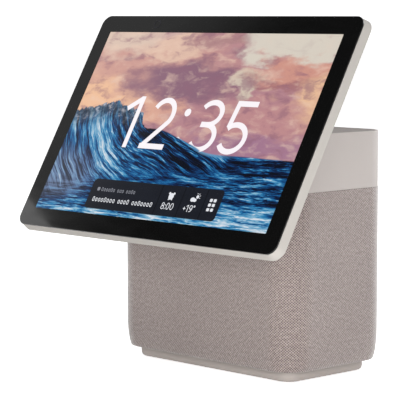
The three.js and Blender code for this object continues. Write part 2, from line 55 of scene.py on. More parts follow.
BODY_WIDTH, BODY_DEPTH, BODY_HEIGHT, BODY_RADIUS = 164, 94.4, 158.6, 19
SEAM_HEIGHT = 122
WALL = 2.4
SLEEVE_BOTTOM, SLEEVE_TOP = 7.8, 121.7
FABRIC_PROUD, FABRIC_THICKNESS = 0.3, 0.7
HEM_TOP, HEM_HEIGHT, HEM_INSET = 28, 21, 3.9
PLINTH_INSET, PLINTH_TOP = 9.2, 7.2

GLASS_WIDTH, GLASS_HEIGHT, GLASS_RADIUS, GLASS_THICKNESS = 242.4, 161.6, 7, 1.1
PICTURE_WIDTH, PICTURE_HEIGHT = 217.4, 135.9
FRAME_FRONT, FRAME_BACK, FRAME_FLARE, FRAME_WALL = -1.4, -7.7, 1.2, 2.8
HEAD_BACK = -12
HEAD_Y, HEAD_Z, LEAN = -62.25, 162.7, 30
HINGE_DEPTH, BARREL_RADIUS, BARREL_HALF, POCKET_HALF = 32.5, 10.5, 33, 35
CAMERA_X, CAMERA_Y = -64, 74.3
KEY_DEPTH = -5
KEYS = {"volume_down": 34, "volume_up": 48, "mic_mute": 66}
MARK_THICKNESS = 0.03
INLET_Z = 38
FOOT_WIDTH, FOOT_DEPTH, FOOT_RADIUS, FOOT_TOP = 132, 62, 8, 2.6

# Outlines as width, height and corner radius, and the steps round each corner of the large ones
BODY_OUTLINE = (BODY_WIDTH, BODY_DEPTH, BODY_RADIUS)
GLASS_OUTLINE = (GLASS_WIDTH, GLASS_HEIGHT, GLASS_RADIUS)
INLET_FLANGE = (28, 18, 4)
INLET_MOUTH = (15.2, 10.4, 2)
LARGE_CORNER_STEPS = 24

HEAD = Matrix.Translation(Vector((0, HEAD_Y, HEAD_Z)) * MM) @ Matrix.Rotation(
    math.radians(90 - LEAN), 4, "X"
)
HINGE_Y = HEAD_Y + HINGE_DEPTH * math.cos(math.radians(LEAN))
HINGE_Z = HEAD_Z - HINGE_DEPTH * math.sin(math.radians(LEAN))

# ------------------------------------------------------------------ outlines and sections


def rounded_loop(width, height, radius, steps):
    """Points round a rounded rectangle, anticlockwise."""
    points = []
    for quarter, (sx, sy) in enumerate(((1, 1), (-1, 1), (-1, -1), (1, -1))):
        for step in range(steps + 1):
            angle = (quarter + step / steps) * math.pi / 2
            x = sx * (width / 2 - radius) + radius * math.cos(angle)
            y = sy * (height / 2 - radius) + radius * math.sin(angle)
            points.append((x, y))
    return points


def soften(path, radius, closed=False, steps=4):
    """A path of 2-D points with each corner rounded off. An open path keeps its two ends."""
    path = [Vector(p) for p in path]
    count = len(path)
    softened = []
    for i, corner in enumerate(path):
        if not closed and i in (0, count - 1):
            softened.append(corner)
            continue
        before, after = path[i - 1] - corner, path[(i + 1) % count] - corner
        reach = min(radius, before.length * 0.45, after.length * 0.45)
        start, end = corner + before.normalized() * reach, corner + after.normalized() * reach
        for step in range(steps + 1):
            t = step / steps
            softened.append(start * (1 - t) ** 2 + corner * 2 * t * (1 - t) + end * t**2)
    return softened


def arc(x, y, rx, ry, start, end, steps=24):
    """Points along an ellipse from one angle to another, in degrees."""
    angles = [math.radians(start + (end - start) * i / steps) for i in range(steps + 1)]
    return [(x + rx * math.cos(a), y + ry * math.sin(a)) for a in angles]


def hem_inset(z):
    drop = max(HEM_TOP - z, 0) / HEM_HEIGHT
    return HEM_INSET * (1 - math.sqrt(1 - drop * drop))


# ------------------------------------------------------------------ bodies


def new_object(name, mesh_builder):
    mesh = bpy.data.meshes.new(name)
    mesh_builder.normal_update()
    mesh_builder.to_mesh(mesh)
    mesh_builder.free()
    obj = bpy.data.objects.new(name, mesh)
    bpy.context.scene.collection.objects.link(obj)
    return obj


def skin(name, rings, closed=False, weave=None):
    """A body through rings of points. Closed joins the last ring to the first, as round the section
    of a wall; otherwise the end rings are filled in. Weave is (repeats round, pitch) of a cloth map."""
    builder = bmesh.new()
    rows = [[builder.verts.new(Vector(p) * MM) for p in ring] for ring in rings]
    layer = builder.loops.layers.uv.new("weave") if weave else None
    count = len(rows[0])
    spans = len(rows) if closed else len(rows) - 1
    along = [0.0]
    for i in range(count):
        step = Vector(rings[0][(i + 1) % count]) - Vector(rings[0][i])
        along.append(along[-1] + step.length)
    for j in range(spans):
        here, there = rows[j], rows[(j + 1) % len(rows)]
        for i in range(count):
            k = (i + 1) % count
            face = builder.faces.new((here[i], here[k], there[k], there[i]))
            if layer:
                for loop, share in zip(face.loops, (i, i + 1, i + 1, i)):
                    height = loop.vert.co.z / MM
                    loop[layer].uv = (along[share] / along[-1] * weave[0], height / weave[1])
    if not closed:
        builder.faces.new(list(reversed(rows[0])))
        builder.faces.new(rows[-1])
    bmesh.ops.recalc_face_normals(builder, faces=builder.faces)
    return new_object(name, builder)


def loft(name, width, height, radius, levels, centre=(0, 0), closed=False, weave=None, steps=16):
    """A body through stacked rounded rectangles. Each level is (z, inset from the outline)."""
    rings = []
    for z, inset in levels:
        corner = min(max(radius - inset, 0.3), min(width, height) / 2 - inset - 0.02)
        outline = rounded_loop(width - 2 * inset, height - 2 * inset, corner, steps)
        rings.append([(x + centre[0], y + centre[1], z) for x, y in outline])
    return skin(name, rings, closed, weave)


def brick(name, low, high, radius, bevel=0):
    """A block with rounded upright edges and, with a bevel, softened top and bottom edges."""
    width, depth = high[0] - low[0], high[1] - low[1]
    levels = [(low[2], 0), (high[2], 0)]
    if bevel:
        levels = soften([(low[2], bevel), *levels, (high[2], bevel)], bevel, steps=3)
    centre = ((low[0] + high[0]) / 2, (low[1] + high[1]) / 2)
    return loft(name, width, depth, radius, levels, centre, steps=5)


def lathe(name, profile, axis, centre, segments=64):
    """A solid of revolution from (radius, height) points, its axis along x, y or z."""
    turn = {"x": Matrix.Rotation(math.pi / 2, 4, "Y"), "y": Matrix.Rotation(-math.pi / 2, 4, "X")}
    matrix = Matrix.Translation(Vector(centre)) @ turn.get(axis, Matrix.Identity(4))
    rings = []
    for radius, height in profile:
        angles = [2 * math.pi * i / segments for i in range(segments)]
        rings.append(
            [matrix @ Vector((radius * math.cos(a), radius * math.sin(a), height)) for a in angles]
        )
    return skin(name, rings)


def combine(obj, *others, operation="DIFFERENCE"):
    """Cuts other bodies from obj, or adds or keeps their common part, and uses them up. The work is
    done in millimetres, because the solver loses small details given in metres."""
    obj.data.transform(Matrix.Scale(1 / MM, 4))
    for other in others:
        other.data.transform(Matrix.Scale(1 / MM, 4))
        modifier = obj.modifiers.new("combine", "BOOLEAN")
        modifier.operation = operation
        modifier.solver = "EXACT"
        modifier.object = other
        evaluated = obj.evaluated_get(bpy.context.evaluated_depsgraph_get())
        obj.data = bpy.data.meshes.new_from_object(evaluated)
        obj.modifiers.clear()
        bpy.data.objects.remove(other)
        joined = bmesh.new()
        joined.from_mesh(obj.data)
        bmesh.ops.remove_doubles(joined, verts=joined.verts, dist=0.002)
        bmesh.ops.dissolve_degenerate(joined, edges=joined.edges, dist=0.002)
        joined.to_mesh(obj.data)
        joined.free()
    obj.data.transform(Matrix.Scale(MM, 4))
    return obj


def place(obj, body, material, stands_for=(), in_head=False, sharp=32):
    """Shades a finished piece, puts it in place and hands it to its CAD body."""
    if in_head:
        obj.matrix_world = HEAD
    obj.data.polygons.foreach_set("use_smooth", [True] * len(obj.data.polygons))
    obj.data.set_sharp_from_angle(angle=math.radians(sharp))
    weighted = obj.modifiers.new("even shading", "WEIGHTED_NORMAL")
    weighted.keep_sharp = True
    obj.data.materials.clear()
    obj.data.materials.append(material)
    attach(obj, body)
    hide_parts(*stands_for)
    return obj


# ------------------------------------------------------------------ flat marks on the glass


def add_prism(builder, outline):
    """A thin flat tablet with this outline."""
    bottom = [builder.verts.new(Vector((x, y, 0)) * MM) for x, y in outline]
    top = [builder.verts.new(Vector((x, y, MARK_THICKNESS)) * MM) for x, y in outline]
    builder.faces.new(top)
    builder.faces.new(list(reversed(bottom)))
    for i in range(len(outline)):
        k = (i + 1) % len(outline)
        builder.faces.new((bottom[i], bottom[k], top[k], top[i]))


def add_stroke(builder, path, width, closed=False):
    """A pen stroke of even width along a path of 2-D points."""
    path = [Vector(p) for p in path]
    if closed:
        path.pop()
    count = len(path)
    left, right = [], []
    for i, point in enumerate(path):
        before = path[i - 1] if closed or i else point
        after = path[(i + 1) % count] if closed or i < count - 1 else point
        first = (point - before).normalized() if before != point else (after - point).normalized()
        second = (after - point).normalized() if after != point else first
        across = Vector((-first.y - second.y, first.x + second.x)).normalized()
        stretch = 1 / max(across.dot(Vector((-first.y, first.x))), 0.5)
        left.append(point + across * width / 2 * stretch)
        right.append(point - across * width / 2 * stretch)
    rims = []
    for height in (0, MARK_THICKNESS):
        rims.append([builder.verts.new(Vector((*p, height)) * MM) for p in left])
        rims.append([builder.verts.new(Vector((*p, height)) * MM) for p in right])
    left_low, right_low, left_high, right_high = rims
    for i in range(count if closed else count - 1):
        k = (i + 1) % count
        builder.faces.new((right_high[i], right_high[k], left_high[k], left_high[i]))
        builder.faces.new((left_low[i], left_low[k], right_low[k], right_low[i]))
        builder.faces.new((left_low[k], left_low[i], left_high[i], left_high[k]))
        builder.faces.new((right_low[i], right_low[k], right_high[k], right_high[i]))
    if not closed:
        builder.faces.new((left_low[0], right_low[0], right_high[0], left_high[0]))
        builder.faces.new((right_low[-1], left_low[-1], left_high[-1], right_high[-1]))


# Strokes of each figure, and the pen's width, in units of the figure's height. RINGS lists the
# strokes that close on themselves.
PEN = 0.102
FIGURES = {
    "0": [arc(0.3, 0.5, 0.25, 0.445, 0, 360, 40)],
    "1": [[(0.33, 0), (0.33, 1)], [(0.02, 0.75), (0.32, 0.955)]],
    "2": [
        arc(0.29, 0.68, 0.25, 0.265, 155, -32) + [(0.075, 0.075)],
        [(0.0, 0.055), (0.62, 0.055)],
    ],
    "3": [
        arc(0.27, 0.735, 0.245, 0.21, 150, -90) + [(0.12, 0.525)],
        arc(0.265, 0.29, 0.275, 0.235, 90, -150),
    ],
    "5": [
        [(0.57, 0.945), (0.13, 0.945), (0.085, 0.5)],
        [(0.075, 0.475)] + arc(0.265, 0.305, 0.28, 0.25, 118, -150),
    ],
    "8": [
        arc(0.3, 0.735, 0.2, 0.21, 0, 360, 32),
        arc(0.3, 0.29, 0.245, 0.235, 0, 360, 32),
    ],
    "9": [
        arc(0.3, 0.68, 0.24, 0.265, 0, 360, 32),
        [(0.54, 0.68), (0.53, 0.45), (0.44, 0.22), (0.28, 0.07), (0.1, 0.055)],
    ],
    "+": [[(0.05, 0.45), (0.5, 0.45)], [(0.275, 0.225), (0.275, 0.675)]],
    "degree": [arc(0.15, 0.85, 0.1, 0.1, 0, 360, 16)],
}
RINGS = {"0": (0,), "8": (0, 1), "9": (0,), "degree": (0,)}


def add_figure(builder, figure, x, y, height, pen=PEN):
    for i, stroke in enumerate(FIGURES[figure]):
        path = [(x + px * height, y + py * height) for px, py in stroke]
        add_stroke(builder, path, pen * height, i in RINGS.get(figure, ()))


# ------------------------------------------------------------------ materials


def rgb(red, green, blue):
    """A display colour from 0 to 255 as a linear colour."""
    levels = [c / 255 for c in (red, green, blue)]
    linear = [c / 12.92 if c < 0.04045 else ((c + 0.055) / 1.055) ** 2.4 for c in levels]
    return (*linear, 1)


class Field:
    """A number that varies over a surface. Arithmetic on it adds Math nodes."""

    def __init__(self, shader, socket):
        self.shader = shader
        self.socket = socket

    def __add__(self, other):
        return self.shader.math("ADD", self, other)

    def __sub__(self, other):
        return self.shader.math("SUBTRACT", self, other)

    def __mul__(self, other):
        return self.shader.math("MULTIPLY", self, other)

    def __truediv__(self, other):
        return self.shader.math("DIVIDE", self, other)

    __radd__ = __add__
    __rmul__ = __mul__

    def __rsub__(self, other):
        return self.shader.math("SUBTRACT", other, self)


class Shader:
    """One procedural material, built node by node."""

    def __init__(self, name, **settings):
        self.material = bpy.data.materials.new(name)
        self.material.use_nodes = True
        self.tree = self.material.node_tree
        self.surface = self.tree.nodes["Principled BSDF"]
        for socket, value in settings.items():
            self.surface.inputs[socket.replace("_", " ")].default_value = value

    def node(self, kind, inputs, **settings):
        node = self.tree.nodes.new("ShaderNode" + kind)
        for name, value in settings.items():
            setattr(node, name, value)
        for name, value in inputs.items():
            self.feed(node.inputs[name], value)
        return node

    def feed(self, socket, value):
        if isinstance(value, Field):
            value = value.socket
        if isinstance(value, bpy.types.NodeSocket):
            self.tree.links.new(value, socket)
        else:
            socket.default_value = value

    def math(self, operation, *values):
        node = self.node("Math", dict(enumerate(values)), operation=operation)
        return Field(self, node.outputs[0])

    def position(self):
        """Where a point is on its piece, as x, y and z in millimetres."""
        coordinates = self.node("TexCoord", {}).outputs["Object"]
        parts = self.node("SeparateXYZ", {0: coordinates}).outputs
        return [Field(self, part) / MM for part in parts]

    def vector(self, x, y, z=0.0):
        return self.node("CombineXYZ", {0: x, 1: y, 2: z}).outputs[0]

    def noise(self, vector, scale=1.0, detail=3.0, roughness=0.5, distortion=0.0):
        inputs = {
            "Vector": vector, "Scale": scale, "Detail": detail,
            "Roughness": roughness, "Distortion": distortion,
        }
        return Field(self, self.node("TexNoise", inputs).outputs["Fac"])

    def between(self, value, low, high, start=0.0, end=1.0):
        """A smooth step from start, where value is at low, to end, where it is at high."""
        inputs = {"Value": value, 1: low, 2: high, 3: start, 4: end}
        node = self.node("MapRange", inputs, interpolation_type="SMOOTHSTEP")
        return Field(self, node.outputs[0])

    def mix(self, share, first, second):
        node = self.node("Mix", {0: share, 6: first, 7: second}, data_type="RGBA")
        return node.outputs[2]

    def ramp(self, value, stops):
        node = self.node("ValToRGB", {0: value})
        elements = node.color_ramp.elements
        elements[0].position, elements[0].color = stops[0]
        elements[1].position, elements[1].color = stops[-1]
        for position, colour in stops[1:-1]:
            elements.new(position).color = colour
        return node.outputs[0]

    def curve(self, value, points):
        """A smooth curve through (value, result) points, both from 0 to 1."""
        node = self.node("FloatCurve", {1: value})
        curve = node.mapping.curves[0]
        curve.points[0].location, curve.points[1].location = points[0], points[-1]
        for x, y in points[1:-1]:
            curve.points.new(x, y)
        node.mapping.update()
        return Field(self, node.outputs[0])

    def bump(self, height, depth):
        """Raises the surface by up to depth millimetres where height is 1."""
        inputs = {"Strength": 1.0, "Distance": depth * MM, "Height": height}
        self.feed(self.surface.inputs["Normal"], self.node("Bump", inputs).outputs[0])

    def colour(self, value):
        self.feed(self.surface.inputs["Base Color"], value)

    def roughness(self, value):
        self.feed(self.surface.inputs["Roughness"], value)


def moulded(name, colour, roughness, grain, depth, variation, **settings):
    """Moulded plastic or rubber: a fine spark-eroded grain and a faint uneven tone. Grain is the
    size of its pits and depth their depth, in millimetres."""
    shader = Shader(name, **settings)
    x, y, z = shader.position()
    at = shader.vector(x, y, z)
    tone = shader.noise(at, 1 / 26, 3)
    light = [min(c * (1 + variation), 1) for c in colour[:3]] + [1]
    dark = [c * (1 - variation) for c in colour[:3]] + [1]
    shader.colour(shader.mix(tone, dark, light))
    pits = shader.noise(at, 1 / grain, 2, 0.6)
    shader.roughness(shader.between(pits, 0.3, 0.7, roughness - 0.04, roughness + 0.05))
    shader.bump(pits, depth)
    return shader.material


def brushed(name, colour, roughness, along="x"):
    """Metal with fine lines along one direction."""
    shader = Shader(name, Metallic=1.0)
    x, y, z = shader.position()
    fine, coarse = 6, 0.04
    per_x, per_z = (coarse, fine) if along == "x" else (fine, coarse)
    stretched = shader.vector(x * per_x, y * fine, z * per_z)
    lines = shader.noise(stretched, 1.0, 3, 0.6)
    dark = [c * 0.82 for c in colour[:3]] + [1]
    shader.colour(shader.mix(lines, dark, colour))
    shader.roughness(shader.between(lines, 0.3, 0.7, roughness - 0.08, roughness + 0.1))
    shader.bump(lines, 0.004)
    return shader.material


def gloss_black(name, colour, roughness):
    """Back-printed cover glass, with a trace of wiped smears in its gloss."""
    shader = Shader(name, IOR=1.5)
    x, y, z = shader.position()
    smear = shader.noise(shader.vector(x / 40, y / 14, z), 1.0, 4, 0.6, 0.8)
    speck = shader.noise(shader.vector(x, y, z), 1.4, 2)
    lighter = [c * 1.25 + 0.0002 for c in colour[:3]] + [1]
    shader.colour(shader.mix(speck, colour, lighter))
    shader.roughness(shader.between(smear, 0.35, 0.7, roughness, roughness + 0.05))
    return shader.material


def circuit_board(name):
    """Green solder resist over copper tracks, with tinned pads."""
    shader = Shader(name)
    x, y, z = shader.position()
    at = shader.vector(x, y, z)
    cells = shader.node("TexVoronoi", {"Vector": at, "Scale": 0.28}, distance="CHEBYCHEV")
    track = shader.between(Field(shader, cells.outputs["Distance"]), 0.44, 0.5)
    pads = shader.node("TexVoronoi", {"Vector": at, "Scale": 0.45})
    pad = shader.between(Field(shader, pads.outputs["Distance"]), 0.16, 0.12)
    resist = shader.mix(track, rgb(20, 74, 46), rgb(34, 104, 62))
    shader.colour(shader.mix(pad, resist, rgb(196, 196, 190)))
    shader.roughness(shader.between(pad, 0, 1, 0.42, 0.25))
    shader.bump(track + pad, 0.03)
    return shader.material


def paper_cone(name):
    """Pressed paper: short fibres in every direction."""
    shader = Shader(name)
    x, y, z = shader.position()
    fibres = shader.noise(shader.vector(x, y, z), 2.2, 6, 0.7, 1.5)
    shader.colour(shader.mix(fibres, rgb(48, 48, 52), rgb(92, 92, 96)))
    shader.roughness(shader.between(fibres, 0.3, 0.7, 0.8, 0.95))
    shader.bump(fibres, 0.08)
    return shader.material


def woven_cloth(name):
    """Loudspeaker cloth: pale yarn with a staggered lattice of small dark openings."""
    shader = Shader(name, Sheen_Weight=1.0, Sheen_Roughness=0.42)
    weave = shader.node("UVMap", {}, uv_map="weave").outputs[0]
    across, up, _ = [Field(shader, s) for s in shader.node("SeparateXYZ", {0: weave}).outputs]
    wander = shader.noise(shader.vector(across, up), 0.35, 2)
    across = across + (wander - 0.5) * 0.3
    up = up + (shader.noise(shader.vector(up, across), 0.3, 2) - 0.5) * 0.3

    def opening(offset):
        """Distance from the nearest opening of one of the two interleaved grids, in repeats."""
        a = shader.math("FRACT", across + offset) - 0.5
        b = shader.math("FRACT", up + offset) - 0.5
        return shader.math("SQRT", a * a + b * b * 1.3)

    apart = shader.math("MINIMUM", opening(0.0), opening(0.5))
    yarn = shader.between(apart, 0.13, 0.35)
    thread = shader.noise(shader.vector(across * 1.0, up * 5.0), 1.6, 3, 0.6)
    fleck = shader.noise(shader.vector(across, up), 0.9, 3, 0.7)
    cloud = shader.noise(shader.vector(across, up), 0.045, 3)
    pale = shader.mix(shader.between(fleck, 0.3, 0.7), rgb(154, 140, 136), rgb(201, 187, 182))
    pale = shader.mix(shader.between(cloud, 0.3, 0.7, 0, 0.2), pale, rgb(154, 140, 135))
    shader.colour(shader.mix(yarn, rgb(84, 72, 70), pale))
    shader.roughness(shader.between(yarn, 0, 1, 0.98, 0.86))
    shader.bump(yarn * 0.8 + thread * 0.35, 0.14)
    return shader.material


# ------------------------------------------------------------------ the lit picture


def crest_height(shader, x):
    """Height of the water line over the picture's width: a breaking wave on the left, then open sea."""
    share = (x + PICTURE_WIDTH / 2) / PICTURE_WIDTH
    profile = shader.curve(
        share,
        [(0, 0.74), (0.08, 0.83), (0.16, 0.9), (0.24, 0.84), (0.31, 0.75), (0.335, 0.56),
         (0.42, 0.53), (0.5, 0.44), (0.58, 0.34), (0.65, 0.25), (0.8, 0.235), (1, 0.225)],
    )
    return profile * 50 - 31


CLOUDS = [
    # x, y, half width, half height, softness, colour, cover
    (-108, 18, 62, 26, 1.3, (240, 192, 156), 1.0),
    (-52, 42, 74, 17, 1.0, (206, 156, 146), 0.9),
    (-98, 66, 56, 15, 1.0, (224, 200, 182), 0.9),
    (-34, 57, 30, 7, 1.2, (230, 196, 174), 0.8),
    (6, 66, 34, 7, 1.0, (176, 134, 134), 0.9),
    (-12, 32, 50, 13, 1.0, (142, 104, 122), 1.0),
    (80, 62, 56, 17, 0.5, (217, 208, 195), 1.0),
    (43, 30, 15, 13, 0.7, (214, 200, 182), 0.9),
    (92, 41, 42, 10, 0.8, (208, 150, 136), 1.0),
    (76, 32, 30, 5, 1.2, (164, 112, 116), 0.8),
    (106, 18, 20, 16, 1.0, (238, 194, 156), 0.9),
    (66, 6, 60, 11, 1.2, (192, 140, 142), 0.9),
    (-30, 10, 24, 9, 1.2, (224, 172, 150), 0.9),
    (44, -14, 90, 8, 1.4, (160, 118, 146), 0.8),
]


def sea_picture(shader):
    """A sea at sunset: clouds, a breaking wave and foam. Gives the colour, and 1 where there is
    water and 0 where there is sky."""
    x, y, _ = shader.position()

    def spot(a, b, cx, cy, rx, ry, soft):
        """A soft ellipse, 1 in its middle."""
        a, b = (a - cx) / rx, (b - cy) / ry
        return shader.between(shader.math("SQRT", a * a + b * b), 1 + soft / 2, 1 - soft / 2)

    # Clouds with ragged edges, laid over one another
    torn_x = x + (shader.noise(shader.vector(x / 30, y / 16), 1.0, 8, 0.55) - 0.5) * 96
    torn_y = y + (shader.noise(shader.vector(x / 34, y / 14, 5), 1.0, 8, 0.55) - 0.5) * 52
    sky = rgb(182, 134, 142)
    for cx, cy, rx, ry, soft, colour, cover in CLOUDS:
        sky = shader.mix(spot(torn_x, torn_y, cx, cy, rx, ry, soft) * cover, sky, rgb(*colour))
    relief = shader.noise(
        shader.vector(x / 26 + torn_x / 60, y / 13 + torn_y / 26), 1.0, 8, 0.54
    )
    calm = 1 - spot(torn_x, torn_y, 80, 64, 56, 17, 0.5) * 0.8
    sky = shader.mix(shader.between(relief, 0.5, 0.7, 0, 0.5) * calm, sky, rgb(238, 206, 186))
    sky = shader.mix(shader.between(relief, 0.5, 0.34, 0, 0.6) * calm, sky, rgb(146, 102, 120))

    # Water line, with spray on the wave
    spray = shader.noise(shader.vector(x / 6, y / 5), 1.0, 8, 0.72)
    peaks = shader.noise(shader.vector(x / 15, y / 60), 1.0, 4, 0.7)
    rough_edge = shader.between(x, -24, -48)
    depth = crest_height(shader, x) - y
    depth = depth + ((spray - 0.5) * 10 + (peaks - 0.5) * 16) * rough_edge

    def streaks(along, across):
        """Water drawn out in one direction, with thin bright threads in it."""
        body = shader.noise(shader.vector(along, across), 1.0, 8, 0.68)
        thread = shader.noise(shader.vector(along * 0.8, across * 1.4, 9), 1.0, 3, 0.55)
        return body + shader.between(shader.math("ABSOLUTE", thread - 0.5), 0.04, 0, 0, 0.11)

    # Round the hollow of the wave, down its shoulder, and level on the open sea
    sway = shader.noise(shader.vector(x / 40, y / 24), 1.0, 2)
    a, b = x + 14, y - 36
    radius = shader.math("SQRT", a * a + b * b)
    turn = shader.math("ARCTAN2", b, a)
    down, over = x * 0.94 - y * 0.34, y * 0.94 + x * 0.34
    curl = streaks(turn * 2.4, radius / 3.6 + sway * 2.4)
    slide = streaks(down / 38, over / 3.4 + sway * 2)
    ripple = streaks(x / 26 + sway, y / 3.2)
    shoulder = shader.between(x - y * 0.3, -34, -6)
    open_sea = shader.between(x - y * 0.8, 56, 96)
    open_sea = shader.math("MAXIMUM", open_sea, shader.between(y - x * 0.12 + sway * 14, -22, -40))
    water = curl * (1 - shoulder) + slide * shoulder
    water = water * (1 - open_sea) + ripple * open_sea

    lit_face = spot(radius, turn, 78, -2.5, 9, 0.5, 1.0)
    trough = spot(down, over, 2, -18, 40, 7, 1.0)
    shore = shader.between(y - x * 0.04 + (sway - 0.5) * 10, -52, -64)
    far = spot(x, y, 84, -26, 60, 5, 1.0)
    corner = spot(x, y, -104, -62, 60, 15, 1.2)
    tone = (water - 0.5) * 1.9 + 0.4 + lit_face * 0.22
    tone = tone - trough * 0.16 + shore * 0.24 - far * 0.14 - corner * 0.1
    sea = shader.ramp(
        tone,
        [(0.2, rgb(5, 10, 26)), (0.36, rgb(10, 34, 74)), (0.49, rgb(16, 84, 142)),
         (0.61, rgb(52, 138, 186)), (0.75, rgb(144, 190, 214)), (0.9, rgb(222, 226, 234))],
    )
    haze = spot(x, y, -100, -40, 32, 16, 1.2)
    sea = shader.mix(haze * shader.between(water, 0.42, 0.62, 0.1, 0.6), sea, rgb(150, 166, 192))
    broken = spot(x, y, -84, 4, 46, 11, 0.9) * shader.between(depth, 18, 2)
    froth = shader.ramp(
        spray, [(0.38, rgb(26, 38, 54)), (0.52, rgb(70, 86, 104)), (0.68, rgb(204, 202, 208))]
    )
    sea = shader.mix(broken * 0.85, sea, froth)
    rim = shader.between(depth, 2.6, 0.4) * shader.between(x, 6, 26) * shader.between(x, 62, 36)
    sea = shader.mix(rim * 0.7, sea, rgb(120, 170, 206))
    wet = shader.between(depth, -0.5, 0.5)
    return shader.mix(wet, sky, sea), wet


def lit_screen():
    """The picture with a dark card along its foot, behind the same glass as the border."""
    shader = Shader("lit_screen", IOR=1.5, Emission_Strength=1.0)
    picture, _ = sea_picture(shader)
    x, y, _ = shader.position()
    half_width, half_height, corner = 61.5, 10.8, 3.2
    across = shader.math("ABSOLUTE", x - 0.6) - (half_width - corner)
    up = shader.math("ABSOLUTE", y + 53.4) - (half_height - corner)
    past_x, past_y = shader.math("MAXIMUM", across, 0.0), shader.math("MAXIMUM", up, 0.0)
    past = shader.math("SQRT", past_x * past_x + past_y * past_y)
    inside = shader.between(past, corner + 0.25, corner - 0.25)
    shade = shader.noise(shader.vector(x / 20, y / 8), 1.0, 3)
    card = shader.mix(shade, rgb(19, 22, 30), rgb(31, 34, 44))
    for divider in (6.0, 27.1, 47.6):
        line = shader.between(shader.math("ABSOLUTE", x - divider), 0.7, 0.2)
        card = shader.mix(line * 0.7, card, rgb(10, 12, 18))
    lit = shader.mix(inside, picture, card)
    dots = shader.noise(shader.vector(x, y), 3.5, 2)
    lit = shader.mix(shader.between(dots, 0.35, 0.65, 0.0, 0.05), lit, (0, 0, 0, 1))
    shader.colour((0.002, 0.002, 0.002, 1))
    shader.feed(shader.surface.inputs["Emission Color"], lit)
    shader.roughness(shader.between(dots, 0.3, 0.7, 0.06, 0.09))
    return shader.material


def lit_figures(name, colour, behind_wave):
    """Pale figures in front of the picture. The clock's go behind the shoulder of the wave."""
    shader = Shader(name, IOR=1.5, Emission_Strength=1.0)
    x, y, _ = shader.position()
    dots = shader.noise(shader.vector(x, y), 3.5, 2)
    lit = shader.mix(shader.between(dots, 0.35, 0.65, 0.0, 0.05), colour, (0.7, 0.7, 0.74, 1))
    if behind_wave:
        picture, wet = sea_picture(shader)
        hidden = wet * shader.between(x, -7, -5.5) * shader.between(x, 27, 24)
        lit = shader.mix(hidden, lit, picture)
    shader.colour((0.002, 0.002, 0.002, 1))
    shader.feed(shader.surface.inputs["Emission Color"], lit)
    shader.roughness(shader.between(dots, 0.3, 0.7, 0.06, 0.09))
    return shader.material


FRAME_PLASTIC = moulded("frame_plastic", rgb(188, 183, 177), 0.5, 0.4, 0.004, 0.02)
SHELL_PLASTIC = moulded("shell_plastic", rgb(194, 186, 182), 0.52, 0.4, 0.005, 0.02)
PANEL_PLASTIC = moulded("panel_plastic", rgb(139, 131, 127), 0.62, 0.5, 0.012, 0.04)
PLINTH_PLASTIC = moulded("plinth_plastic", rgb(193, 183, 177), 0.55, 0.45, 0.006, 0.03)
DARK_PLASTIC = moulded("dark_plastic", rgb(44, 44, 48), 0.55, 0.5, 0.01, 0.06)
RUBBER = moulded("rubber", rgb(50, 50, 52), 0.85, 0.9, 0.03, 0.08)
FILM = moulded("white_film", rgb(228, 228, 224), 0.5, 1.5, 0.004, 0.02)
MAGNET = moulded("magnet", rgb(58, 58, 62), 0.45, 0.8, 0.02, 0.1, Metallic=0.6)
STEEL = brushed("steel", rgb(168, 170, 174), 0.34)
ALUMINIUM = brushed("aluminium", rgb(198, 200, 204), 0.38, "z")
GLASS = gloss_black("glass", rgb(7, 7, 7), 0.05)
LENS = gloss_black("lens", rgb(16, 14, 24), 0.04)
BOARD = circuit_board("board")
CONE = paper_cone("cone")
CLOTH = woven_cloth("cloth")

SLOT_MATERIALS = {
    "glass": GLASS, "lens": LENS, "frame": FRAME_PLASTIC, "shell": SHELL_PLASTIC,
    "panel": PANEL_PLASTIC, "plinth": PLINTH_PLASTIC, "fabric": CLOTH, "rubber": RUBBER,
    "dark_plastic": DARK_PLASTIC, "white_film": FILM, "steel": STEEL, "aluminium": ALUMINIUM,
    "magnet": MAGNET, "board": BOARD, "cone": CONE,
}

# ------------------------------------------------------------------ display head


def build_glass():
    levels = [(-GLASS_THICKNESS, 0.15), (-GLASS_THICKNESS, 0), (0, 0), (0, 0.4)]
    levels = soften(levels, 0.2, steps=5)
    glass = loft("glass_face", *GLASS_OUTLINE, levels, steps=LARGE_CORNER_STEPS)
    place(glass, "display", GLASS, ["cover_glass"], in_head=True)

    proud = 0.015
    screen = loft("lit_picture", PICTURE_WIDTH, PICTURE_HEIGHT, 0.5, [(-0.2, 0), (proud, 0)], steps=4)
    place(screen, "display", lit_screen(), ["lcd_panel"], in_head=True)

    dish = [(3.3, -0.2), (3.3, proud), (2.7, 0.03), (2.3, proud), (2.2, -0.06), (0.9, -0.02), (0.01, 0)]
    window = lathe("camera_window", dish, "z", (CAMERA_X, CAMERA_Y, 0))
    place(window, "display", LENS, ["camera_lens"], in_head=True)


def build_clock():
    base, height = -18.7, 38
    builder = bmesh.new()
    for figure, x in (("1", -59.2), ("2", -32.9), ("3", 12.1), ("5", 39.3)):
        add_figure(builder, figure, x, base, height)
    for y in (9.1, -11.4):
        add_prism(builder, arc(0.6, y, 2.8, 2.8, 0, 350, 35))
    clock = new_object("clock_figures", builder)
    white = lit_figures("lit_clock", rgb(252, 246, 250), True)
    place(clock, "display", white, in_head=True)


